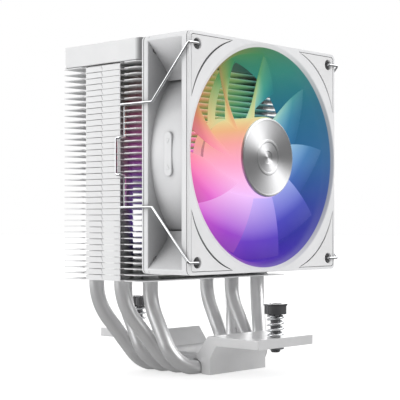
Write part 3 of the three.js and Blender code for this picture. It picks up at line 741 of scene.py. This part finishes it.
def heat_pipes():
    for row, pitches in enumerate(PIPE_ROWS):
        left, right, left_foot, right_foot = leg_columns(row)
        y, foot_y = PIPE_MIDDLE + PIPE_PITCH * pitches, FOOT_PITCH * pitches
        route = bent(
            [(left, y, PIPE_TOP), (left, y, KNEE_Z), (left_foot, foot_y, FOOT_Z),
             (right_foot, foot_y, FOOT_Z), (right, y, KNEE_Z), (right, y, PIPE_TOP)],
            [KNEE_RADIUS, FOOT_RADIUS, FOOT_RADIUS, KNEE_RADIUS], 14)
        mesh = tube(route, PIPE_RADIUS, 40, end=1.2)
        for vertex in mesh.vertices:
            vertex.co.z = max(vertex.co.z, 0.0)
        piece(f"pipe_{row + 1}", mesh, PEARL, "cooler", [f"heat_pipe_{row + 1}"],
              crease=60, flat=False)


heat_pipes()

# ---------- fins ----------

NOTCH = (0.0, 2.4, 2.4)  # where the clips sit: from, to, depth
RELIEF = (22.7, 25.2, 1.3)  # the cut beside the folded wall
FRONT_CUT, REAR_CUT = 2.75, 0.4  # of the fins' corners
WALL_GAP = 0.13  # between a folded wall and the fin above it
SLIT = (12.4, 0.22, 0.8)  # in the folded wall: place, width and lean
PIPE_HOLE = PIPE_RADIUS + 0.05
# A collar's section, out from the hole and up.
COLLAR = [(0, 0.05), (0.6, 0.05), (0.6, 0.45), (0.3, 0.75), (0.3, 1.9), (0, 1.9)]


def fin_edge(stand_back):
    """A fin's outline. The top fin stands back from the side where the others have their walls."""
    notch_start, notch_end, notch_depth = NOTCH
    cut_start, cut_end, cut_depth = RELIEF
    wall = [(HALF - stand_back, FLANGE[0]), (HALF - stand_back, cut_start)] if stand_back else []
    right = [
        (HALF - FRONT_CUT, TOWER_FRONT), (HALF, TOWER_FRONT + FRONT_CUT),
        (HALF, notch_start), (HALF - notch_depth, notch_start),
        (HALF - notch_depth, notch_end), (HALF, notch_end),
        *wall, (HALF, cut_start + (0.1 if wall else 0)), (HALF - cut_depth, cut_start + 0.3),
        (HALF - cut_depth, cut_end - 0.6), (HALF, cut_end),
        (HALF, TOWER_BACK - REAR_CUT), (HALF - REAR_CUT, TOWER_BACK),
    ]
    return right + [(-x, y) for x, y in reversed(right)]


def pipe_places():
    for row, pitches in enumerate(PIPE_ROWS):
        left, right = leg_columns(row)[:2]
        for x in (left, right):
            yield x, PIPE_MIDDLE + PIPE_PITCH * pitches


def folded_walls():
    """A fin's two side walls, each parted by a leaning slit."""
    top = FIN_PITCH - WALL_GAP
    at, width, lean = SLIT
    tabs = [
        [(FLANGE[0], 0.02), (at, 0.02), (at + lean, top), (FLANGE[0], top)],
        [(at + width, 0.02), (FLANGE[1], 0.02), (FLANGE[1], top - 0.1),
         (at + width + lean, top - 0.1)],
    ]
    return [plate([tab], *sorted((side * (HALF - FIN_THICK), side * HALF)), 0.1, along_x)
            for tab in tabs for side in (1, -1)]


def fin_mesh(walls):
    """One fin with its bottom face at Z 0: the sheet, collars round the pipes and folded walls."""
    holes = [circle(x, y, PIPE_HOLE, 28) for x, y in pipe_places()]
    sheet = plate([fin_edge(0 if walls else COVER_WALL)] + holes, 0, FIN_THICK, 0.08)
    collar = [(PIPE_HOLE + out, up) for out, up in COLLAR]
    collars = [lathe(collar, 28, upright, place) for place in pipe_places()]
    return combined([sheet] + collars + (folded_walls() if walls else []))


def fins():
    folded, plain = fin_mesh(True), fin_mesh(False)
    for i in range(FIN_COUNT):
        top = i == FIN_COUNT - 1
        node = "top_fin" if top else f"fin_pack_{i // FINS_PER_PACK + 1:02d}"
        sheet = piece(f"fin_{i + 1:02d}", plain if top else folded, FIN_PAINT, "cooler", [node],
                      crease=40)
        sheet.location.z = (FIN_LOW + FIN_PITCH * i) * MM


fins()

# ---------- top cover ----------


def cover_outline(inwards, front_radius, rear_radius):
    reach = HALF - inwards
    return rounded_box(-reach, reach, TOWER_FRONT + inwards, TOWER_BACK - inwards,
                       front_radius, far_radius=rear_radius)


def top_cover():
    low, high = COVER_LOW[2], COVER_HIGH[2]
    body = plate([cover_outline(0, 3, 1.5)], low, high, 0.3)
    hollow = plate([cover_outline(COVER_WALL, 1.4, 0.8)], low - 1, high - COVER_WALL)
    piece("cover_shell", combined([body], [hollow]), PAINT, "cooler", ["top_cover"],
          crease=60)


top_cover()

# ---------- base ----------

LEG_EDGE, LEG_SHOULDER, LEG_ROOT = 19.6, 6.6, 22.8
TROUGH_RIM, TROUGH_EDGE, TROUGH_FLOOR = 18.15, 12.95, 8.5
BLOCK_EDGE, BLOCK_TOP = 12.2, 7.3
GROOVE = 3.25  # radius of the pipes' grooves
RIB_COUNT, RIB_PITCH, RIB_WIDTH = 29, 1.2, 0.56
SCREW_HOLE = 2.35


def base_profile():
    """The section across the base: legs, a trough above, and a wing each side."""
    half = [(LEG_ROOT, WING_BOTTOM), (BASE_HIGH[1], WING_BOTTOM), (BASE_HIGH[1], WING_TOP),
            (TROUGH_RIM, WING_TOP), (TROUGH_EDGE, TROUGH_FLOOR), (BLOCK_EDGE, BLOCK_TOP)]
    right = [(LEG_EDGE, 0), (LEG_EDGE, LEG_SHOULDER)] + half
    left = [(-y, z) for y, z in reversed(right)]
    under = []
    for pitches in reversed(PIPE_ROWS):
        y = FOOT_PITCH * pitches
        under += [(y - GROOVE, 0)] + arc(y, FOOT_Z, GROOVE, 180, 0, 16) + [(y + GROOVE, 0)]
    return right + left + under


def base():
    """The base block, with holes for the screws and a row of low ribs in its trough."""
    body = plate([base_profile()], BASE_LOW[0], BASE_HIGH[0], 0.25, along_x)
    hole = band(0, SCREW_HOLE, WING_BOTTOM - 1, WING_TOP + 1)
    holes = [lathe(hole, 40, upright, (0, side * SCREW_Y)) for side in (-1, 1)]
    ribs, reach = [], BLOCK_EDGE + 0.3
    for i in range(RIB_COUNT):
        x = (i - (RIB_COUNT - 1) / 2) * RIB_PITCH
        edge = rounded_box(x - RIB_WIDTH / 2, x + RIB_WIDTH / 2, -reach, reach, 0.2, 3)
        ribs.append(plate([edge], BLOCK_TOP - 0.3, TROUGH_FLOOR, 0.08))
    piece("base_block", combined([body] + ribs, holes), PALE_PEARL, "cooler", ["base_plate"],
          crease=40)


base()

# ---------- mounting screws, springs and retaining rings ----------

SCREW_TIP, HEAD_LOW, HEAD_HIGH = 9.2, 24.5, 28.7
SHANK, NECK_RADIUS, TIP_RADIUS = 2, 1.5, 1.4
NECK = (10.225, 11.625)
HEAD, HEAD_RIM, RIM_HEIGHT = 4.4, 4.8, 0.8
SLOT_REACH, SLOT_HALF, SLOT_DEPTH = 3.1, 0.42, 2
SPRING_LOW, SPRING_HIGH, SPRING_TURNS = WING_TOP + 0.3, HEAD_LOW - 0.3, 4.6
SPRING_WIRE, SPRING_MEAN = 0.48, 3.05
SPRING_CLOSED = 0.13  # share of the wire in the flat coil at either end
RING_OUTER, RING_INNER = 3.4, 1.75


def screw_mesh(y):
    """A screw with a necked shank, a rim on its head, a shallow dish and a cross slot."""
    profile = [
        (0, SCREW_TIP), (TIP_RADIUS, SCREW_TIP), (SHANK, SCREW_TIP + 0.6),
        (SHANK, NECK[0]), (NECK_RADIUS, NECK[0]), (NECK_RADIUS, NECK[1]), (SHANK, NECK[1]),
        (SHANK, HEAD_LOW), (HEAD, HEAD_LOW), (HEAD, HEAD_HIGH - RIM_HEIGHT),
        (HEAD_RIM, HEAD_HIGH - RIM_HEIGHT), (HEAD_RIM, HEAD_HIGH), (0, HEAD_HIGH),
    ]
    above = HEAD_HIGH + 1
    dish = lathe([(0, HEAD_HIGH - 0.35), (2.6, HEAD_HIGH - 0.35), (3.2, above), (0, above)],
                 64, upright, (0, y))
    cutters = [dish]
    for wide, deep in ((SLOT_REACH, SLOT_HALF), (SLOT_HALF, SLOT_REACH)):
        slot = rounded_box(-wide, wide, y - deep, y + deep, 0.2, 4)
        cutters.append(plate([slot], HEAD_HIGH - SLOT_DEPTH, above))
    return combined([lathe(softened(profile, 0.15, 2), 64, upright, (0, y))], cutters)


def spring_mesh(y):
    low, high = SPRING_LOW + SPRING_WIRE, SPRING_HIGH - SPRING_WIRE
    steps = int(SPRING_TURNS * 28)
    route = []
    for i in range(steps + 1):
        t = i / steps
        rise = min(max((t - SPRING_CLOSED) / (1 - 2 * SPRING_CLOSED), 0), 1)
        angle = 2 * math.pi * SPRING_TURNS * t
        route.append((*polar(SPRING_MEAN, angle, 0, y), low + (high - low) * rise))
    return tube(route, SPRING_WIRE, 12)


def ring_mesh(y):
    """A retaining washer with a slot, in the screw's neck."""
    outline = arc(0, y, RING_OUTER, 10, 350, 48) + arc(0, y, RING_INNER, 340, 20, 32)
    return plate([outline], NECK[0] + 0.3, NECK[1] - 0.3, 0.12)


def mounting_screws():
    for place, side in (("front", -1), ("rear", 1)):
        y = side * SCREW_Y
        piece(f"screw_{place}", screw_mesh(y), BLACK_CHROME, f"{place}_screw",
              [f"mounting_screw_{place}"], crease=40)
        piece(f"e_ring_{place}", ring_mesh(y), STEEL, f"{place}_screw_travel",
              [f"retaining_ring_{place}"])
        coil = piece(f"spring_{place}", spring_mesh(y), CHROME, "cooler", [f"screw_spring_{place}"],
                     flat=False)
        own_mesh(coil)


mounting_screws()

# ---------- fan frame and its corner pads ----------

CORNERS = [("lower_left", -1, -1), ("lower_right", 1, -1), ("upper_left", -1, 1),
           ("upper_right", 1, 1)]
GROOVE_DEPTH, GROOVE_WIDTH, GROOVE_AT = 0.4, 0.35, 1.1  # round the edge of each flange
PAD_THICK, PAD_GAP, PAD_CORNER = 1, 0.2, 1.2
PAD_ARC_END = 7.03  # from the arc's ends to the lines through its centre
PAD_RECESS = PAD_THICK + 0.3
LIP_START = 18  # degrees of the flare's quarter arc that the front face cuts off
DUCT_END = 0.8  # chamfer at the rear of the duct
CORNER_WALL = 1.2  # half the thickness of the diagonal walls
PLATE_RADIUS, PLATE_REACH = 2, 6.5  # of the raised plate on the duct's side
PLATE_Y, PLATE_X = FAN_FRONT + 12.2, (42.6, 44.85)
ARROW_X, ARROW_AT, ARROW_HALF = (44.6, 44.98), 5, 0.9
STRUT_COUNT, STRUT_START, STRUT_SWEEP, STRUT_HALF = 4, 25, -34.4, 1.5
MOTOR_BASE, MOTOR_BASE_THICK = 17, 2
BEARING_TUBE = (3.3, 4.2)  # inner and outer radius


def slab(outlines, low, high, chamfer=0.0):
    return plate(outlines, low, high, chamfer, across_fan)


def pad_outline(side_x, side_z, grow=0.0, widen=0.0):
    """Two straight edges and an arc along the intake. The gap at the arc widens in its middle."""
    edge, radius = PAD_EDGE + grow, PAD_ARC - grow
    start = math.degrees(math.asin(PAD_ARC_END / PAD_ARC))
    points, steps = [], 24
    for i in range(steps + 1):
        t = i / steps
        angle = math.radians(start + (90 - 2 * start) * t)
        reach = radius - widen * (1 - (2 * t - 1) ** 2)
        points.append(polar(reach, angle, PAD_CENTRE, PAD_CENTRE))
    points[0], points[-1] = (edge, points[0][1] - grow), (points[-1][0] - grow, edge)
    points += arc(edge - PAD_CORNER, edge - PAD_CORNER, PAD_CORNER, 90, 0, 5)
    return [(side_x * x, side_z * z) for x, z in points]


def bell_mouth():
    """The intake's flare and the duct behind it, as a cutter."""
    front, back, wide = FAN_FRONT - 1, FAN_BACK + 1, THROAT + DUCT_END
    angles = [math.radians(LIP_START + (90 - LIP_START) * i / 10) for i in range(11)]
    lip = [(THROAT + FLARE_DEPTH * (1 - math.sin(a)), FAN_FRONT + FLARE_DEPTH * (1 - math.cos(a)))
           for a in angles]
    rear = [(THROAT, FAN_BACK - DUCT_END), (wide, FAN_BACK), (wide, back), (0, back)]
    return lathe([(0, front), (lip[0][0] + 3, front)] + lip + rear, 160)


def corner_wall(side_x, side_z):
    """The diagonal wall from the duct to the corner, filleted where it meets the duct."""
    near = (BARREL - 0.8) / math.sqrt(2)
    half = CORNER_WALL * math.sqrt(2)
    foot = near + half
    fillet = [(foot + 2.2, near - 1.4), (foot + 2.6, near + 1.6), (foot + 5, near + 4.7)]
    side = (HALF, HALF - half - 0.35)
    profile = fillet + [side, (HALF, HALF - 1.5), (HALF - 1.5, HALF)]
    mirrored = [(z, x) for x, z in reversed(fillet + [side])]
    points = [(side_x * x, side_z * z) for x, z in profile + mirrored + [(near, near)]]
    return slab([points], FAN_FRONT + 3, FAN_BACK - 2.5)


def strut(start):
    """An arm from the motor's base out to the duct, swept back as it goes."""
    path = []
    inner, outer = MOTOR_BASE - 1.5, THROAT + DUCT_END
    for i in range(13):
        t = i / 12
        radius = inner + (outer - inner) * t
        angle = math.radians(start + STRUT_SWEEP * t)
        path.append(Vector(polar(radius, angle)))
    left, right = [], []
    for i, point in enumerate(path):
        along = (path[min(i + 1, 12)] - path[max(i - 1, 0)]).normalized()
        across = Vector((-along.y, along.x)) * STRUT_HALF
        left.append(tuple(point + across))
        right.append(tuple(point - across))
    return slab([left + right[::-1]], FAN_BACK - MOTOR_BASE_THICK, FAN_BACK - 0.02, 0.4)


def side_mark(side):
    """The raised plate on the duct's side with two small airflow arrowheads."""
    outline = [(y, z + FAN_Z) for y, z in
               arc(PLATE_Y, PLATE_REACH, PLATE_RADIUS, 0, 180, 12)
               + arc(PLATE_Y, -PLATE_REACH, PLATE_RADIUS, 180, 360, 12)]
    marks = [plate([outline], *sorted(side * x for x in PLATE_X), 0.35, along_x)]
    for lean in (1, -1):
        middle = FAN_Z + ARROW_AT * lean
        foot, tip = middle + 0.8 * lean, middle - 0.9 * lean
        head = [(PLATE_Y - ARROW_HALF, foot), (PLATE_Y + ARROW_HALF, foot), (PLATE_Y, tip)]
        marks.append(plate([head], *sorted(side * x for x in ARROW_X), 0.05, along_x))
    return marks


def rim_groove(at):
    """A cutter for the fine groove round a flange."""
    outside, reach = HALF + 4, HALF - GROOVE_DEPTH
    outer = rounded_box(-outside, outside, -outside, outside, 1)
    inner = rounded_box(-reach, reach, -reach, reach, 1.7, 8)
    return slab([outer, inner], at - GROOVE_WIDTH / 2, at + GROOVE_WIDTH / 2)


def motor_mount():
    """The round plate behind the motor and the tube that holds its bearing."""
    front, dent = FAN_BACK - MOTOR_BASE_THICK, FAN_BACK - 0.5
    plate_profile = [(0, front), (MOTOR_BASE, front), (MOTOR_BASE, FAN_BACK),
                     (7, FAN_BACK), (6.4, dent), (0, dent)]
    holder = band(*BEARING_TUBE, FAN_FRONT + 6.5, FAN_BACK - 1)
    return [lathe(softened(plate_profile, 0.4), 96), lathe(holder, 48)]


def fan_shell():
    square = rounded_box(-HALF, HALF, -HALF, HALF, 2)
    duct = lathe(band(THROAT - 1, BARREL, FAN_FRONT + 2, FAN_BACK - 2), 160)
    bodies = [slab([square], FAN_FRONT, FAN_FRONT + FRONT_FLANGE, 0.3),
              slab([square], FAN_BACK - REAR_FLANGE, FAN_BACK, 0.3), duct]
    bodies += [corner_wall(x, z) for _, x, z in CORNERS]
    bodies += side_mark(-1) + side_mark(1)
    cuts = [bell_mouth(), rim_groove(FAN_FRONT + GROOVE_AT), rim_groove(FAN_BACK - GROOVE_AT)]
    for _, x, z in CORNERS:
        recess = pad_outline(x, z, PAD_GAP, 0.55)
        hole = circle(x * HOLE, z * HOLE, HOLE_RADIUS, 32)
        cuts += [slab([recess], FAN_FRONT - 1, FAN_FRONT + PAD_RECESS),
                 slab([recess], FAN_BACK - PAD_RECESS, FAN_BACK + 1),
                 slab([hole], FAN_FRONT - 1, FAN_FRONT + FRONT_FLANGE),
                 slab([hole], FAN_BACK - REAR_FLANGE, FAN_BACK + 1)]
    shell = combined(bodies, cuts)
    arms = [strut(STRUT_START + 360 * i / STRUT_COUNT) for i in range(STRUT_COUNT)]
    return combined([shell] + motor_mount() + arms)


def fan_housing():
    piece("fan_shell", fan_shell(), PLASTIC, "cooler", ["fan_frame"], crease=48)
    for name, x, z in CORNERS:
        hole = circle(x * HOLE, z * HOLE, HOLE_RADIUS + 0.05, 32)
        outline = pad_outline(x, z)
        for end, face in (("front", FAN_FRONT), ("rear", FAN_BACK - PAD_THICK)):
            pad = slab([outline, hole], face, face + PAD_THICK, 0.12)
            piece(f"pad_{end}_{name}", pad, RUBBER, "cooler", [f"{end}_pad_{name}"])


fan_housing()

# ---------- rotor ----------

BLADE_STEPS = (16, 18)
BLADE_SPANS, BLADE_SWEEP = (40, 41.5), -14  # degrees round the hub at root and tip, and the lag
BLADE_LENGTHS, BLADE_CENTRE, BLADE_CAMBER = (15, 16.6), 12, 1.2
BLADE_EDGE, BLADE_THICK = 0.25, 1.2  # thickness at the edges and the most of it
CUP_WALL = 1.6  # of the hub's front


def between(ends, share):
    return ends[0] + (ends[1] - ends[0]) * share


def blade_point(turn, u, v):
    """On the blade's middle surface: u runs from hub to tip and v from rear to front."""
    radius = between((HUB_RADIUS - HUB_WALL / 2, BLADE_TIP), u)
    angle = turn + math.radians(BLADE_SWEEP * u + between(BLADE_SPANS, u) * (v - 0.5))
    camber = BLADE_CAMBER * (0.25 - (v - 0.5) ** 2)
    depth = BLADE_CENTRE - (v - 0.5) * between(BLADE_LENGTHS, u) + camber
    return Vector((*polar(radius, angle), FAN_FRONT + depth))


def blade_mesh(turn):
    """A blade with an aerofoil's thickness, thin at its front, rear and tip."""
    rows, columns = BLADE_STEPS
    points, faces = [], []
    for side in (0.5, -0.5):
        for i in range(rows + 1):
            for j in range(columns + 1):
                u, v = i / rows, j / columns
                along = blade_point(turn, u + 0.01, v) - blade_point(turn, u - 0.01, v)
                across = blade_point(turn, u, v + 0.01) - blade_point(turn, u, v - 0.01)
                bulge = math.sqrt(max(0.0, 1 - (2 * v - 1) ** 4)) * (1.25 - 0.45 * u)
                thick = BLADE_EDGE + 0.95 * bulge * (1 if i < rows else 0.4)
                offset = along.cross(across).normalized() * side * min(thick, BLADE_THICK)
                points.append(tuple(blade_point(turn, u, v) + offset))
    layer, row = (rows + 1) * (columns + 1), columns + 1
    for i in range(rows):
        for j in range(columns):
            a = i * row + j
            faces += [(a, a + row, a + row + 1, a + 1),
                      (layer + a, layer + a + 1, layer + a + row + 1, layer + a + row)]
    rim = list(range(row)) + [i * row + columns for i in range(1, rows + 1)]
    rim += [rows * row + j for j in reversed(range(columns))]
    rim += [i * row for i in reversed(range(1, rows))]
    for a, b in zip(rim, rim[1:] + rim[:1]):
        faces.append((a, b, layer + b, layer + a))
    return mesh_of(points, faces, across_fan)


def impeller():
    inner, floor_back = HUB_RADIUS - HUB_WALL, HUB_FRONT + CUP_WALL
    cup = softened([(0, HUB_FRONT), (HUB_RADIUS, HUB_FRONT), (HUB_RADIUS, HUB_BACK),
                    (inner, HUB_BACK), (inner, floor_back), (0, floor_back)], 0.5, 4)
    blades = [blade_mesh(2 * math.pi * i / BLADE_COUNT) for i in range(BLADE_COUNT)]
    piece("rotor_blades", combined([lathe(cup, 128)] + blades), BLADE, "rotor", ["impeller"],
          crease=45, flat=False)


def hub_cap():
    """The cap has a soft rim, a shallow dish and a plain raised ring."""
    front, back, radius = CAP_LOW[1], CAP_HIGH[1], CAP_HIGH[0]
    dish = [(0, 0.42), (2.4, 0.42), (2.6, 0.2), (6.0, 0.2)]
    ring = [(6.2, 0.02), (7.0, 0.02), (7.2, 0.2)]
    rim = [(radius - 1.2, 0.08), (radius - 0.7, 0), (radius - 0.15, 0.2), (radius, 0.6)]
    face = [(out, front + depth) for out, depth in dish + ring + rim]
    profile = softened(face + [(radius, back), (0, back)], 0.12, 3)
    piece("spun_cap", lathe(profile, 160), SPUN, "rotor", ["hub_cap"], crease=60)


impeller()
hub_cap()

# ---------- fan clips ----------

WIRE_RADIUS = 0.498
CLIP_SIDE, CLIP_WAIST = 47, 44.5  # X beside the fan and in the notch
CLIP_ELBOW, CLIP_NOTCH, CLIP_GRIP_BACK = -16.3, 1.3, 3.6  # Y
CLIP_SHOULDER, CLIP_GRIP = 20.2, 7.3  # above and below the fan's middle
CLIP_HOOK, CLIP_BEND = 1.4, 0.8  # depth in the hole, and radius of the bends


def clip_route(side):
    """From the upper hole round the fan's side into the fins' notch, and mirrored below."""
    front = FAN_FRONT - WIRE_RADIUS - 0.3
    upper = [
        (HOLE, FAN_FRONT + CLIP_HOOK, HOLE), (HOLE, front, HOLE), (CLIP_SIDE, front, HOLE),
        (CLIP_SIDE, CLIP_ELBOW, CLIP_SHOULDER), (CLIP_SIDE, CLIP_NOTCH, CLIP_SHOULDER),
        (CLIP_WAIST, CLIP_NOTCH, CLIP_SHOULDER), (CLIP_WAIST, CLIP_NOTCH, CLIP_GRIP),
        (CLIP_SIDE, CLIP_NOTCH, CLIP_GRIP), (CLIP_SIDE, CLIP_GRIP_BACK, CLIP_GRIP),
    ]
    corners = upper + [(x, y, -z) for x, y, z in reversed(upper)]
    placed = [(side * x, y, FAN_Z + z) for x, y, z in corners]
    return bent(placed, [CLIP_BEND] * (len(corners) - 2), 6)


def fan_clips():
    for name, side in (("left", -1), ("right", 1)):
        piece(f"clip_{name}", tube(clip_route(side), WIRE_RADIUS, 16), CHROME, f"{name}_clip",
              [f"fan_clip_{name}"], flat=False)


fan_clips()

# ---------- floor, light and world ----------

DOME_LIGHT, DARK_END_LIGHT = 0.95, 0.3  # on diffuse surfaces; the camera sees the dome as white
MIRRORED_DOME, MIRRORED_DARK = 2.0, 0.04
DARK_END = (-0.74, -0.67)  # direction of the studio's dark end
FLOOR_SIZE, FLOOR_DROP, FLOOR_GLOW = 4000, 0.2, 0.6
LIGHT_TARGET = (0, 0, 0.07)


def floor():
    """A pale floor that is dark in reflections, so that metal has something dark to show."""
    size = FLOOR_SIZE
    mesh = mesh_of([(-size, -size, 0), (size, -size, 0), (size, size, 0), (-size, size, 0)],
                   [(0, 1, 2, 3)])
    look = Finish("pale_floor")
    mirrored = look.node("LightPath").outputs["Is Glossy Ray"]
    pale = look.mix(look.noise(900, 2), (0.5, 0.5, 0.5), (0.54, 0.54, 0.54))
    look.set(Base_Color=look.mix(mirrored, pale, (0.14, 0.14, 0.14)), Roughness=0.8,
             Emission_Color=(1, 1, 1, 1),
             Emission_Strength=look.range(mirrored, 0.0, 1.0, FLOOR_GLOW, 0.0))
    mesh.materials.append(look.material)
    plane = into_scene("floor", mesh)
    plane.location.z = -FLOOR_DROP * MM


def soft_light(name, place, size, power):
    """A round lamp aimed at the cooler's middle."""
    data = bpy.data.lights.new(name, "AREA")
    data.shape, data.size, data.energy = "DISK", size, power
    lamp = into_scene(name, data)
    lamp.location = place
    lamp.rotation_euler = (Vector(LIGHT_TARGET) - Vector(place)).to_track_quat("-Z", "Y").to_euler()


def world():
    """A white dome whose dark end faces the fan's left front corner.

    Reflections also have a dark band at the horizon in front. The camera sees plain white.
    """
    dome = bpy.data.worlds.new("dome")
    bpy.context.scene.world = dome
    dome.use_nodes = True
    dome.cycles.sampling_method = "NONE"
    sky = Graph(dome.node_tree, "Generated")
    x, y, z = sky.parts()
    towards = sky.math("ADD", sky.product(x, DARK_END[0]), sky.product(y, DARK_END[1]))
    open_sky = sky.range(towards, 0.4, 0.75, 1.0, 0.0)
    path = sky.node("LightPath").outputs
    lifted = sky.range(sky.math("ABSOLUTE", z), 0.14, 0.28, 0.0, 1.0)
    behind = sky.range(y, -0.1, 0.25, 0.0, 1.0)
    off_band = sky.math("MAXIMUM", lifted, behind)
    mirrored = sky.range(sky.math("MINIMUM", open_sky, off_band), 0.0, 1.0,
                         MIRRORED_DARK, MIRRORED_DOME)
    diffuse = sky.range(open_sky, 0.0, 1.0, DARK_END_LIGHT, DOME_LIGHT)
    indirect = sky.range(path["Is Glossy Ray"], 0.0, 1.0, diffuse, mirrored)
    back = sky.nodes["Background"]
    back.inputs["Color"].default_value = (1, 1, 1, 1)
    strength = sky.range(path["Is Camera Ray"], 0.0, 1.0, indirect, 1.0)
    sky.links.new(strength, back.inputs["Strength"])


floor()
soft_light("left", (-1.0, 0.5, 0.6), 0.8, 2.2)
soft_light("front", (0.6, -1.0, 0.6), 0.8, 2.2)
world()
bpy.context.scene.view_settings.view_transform = "Standard"
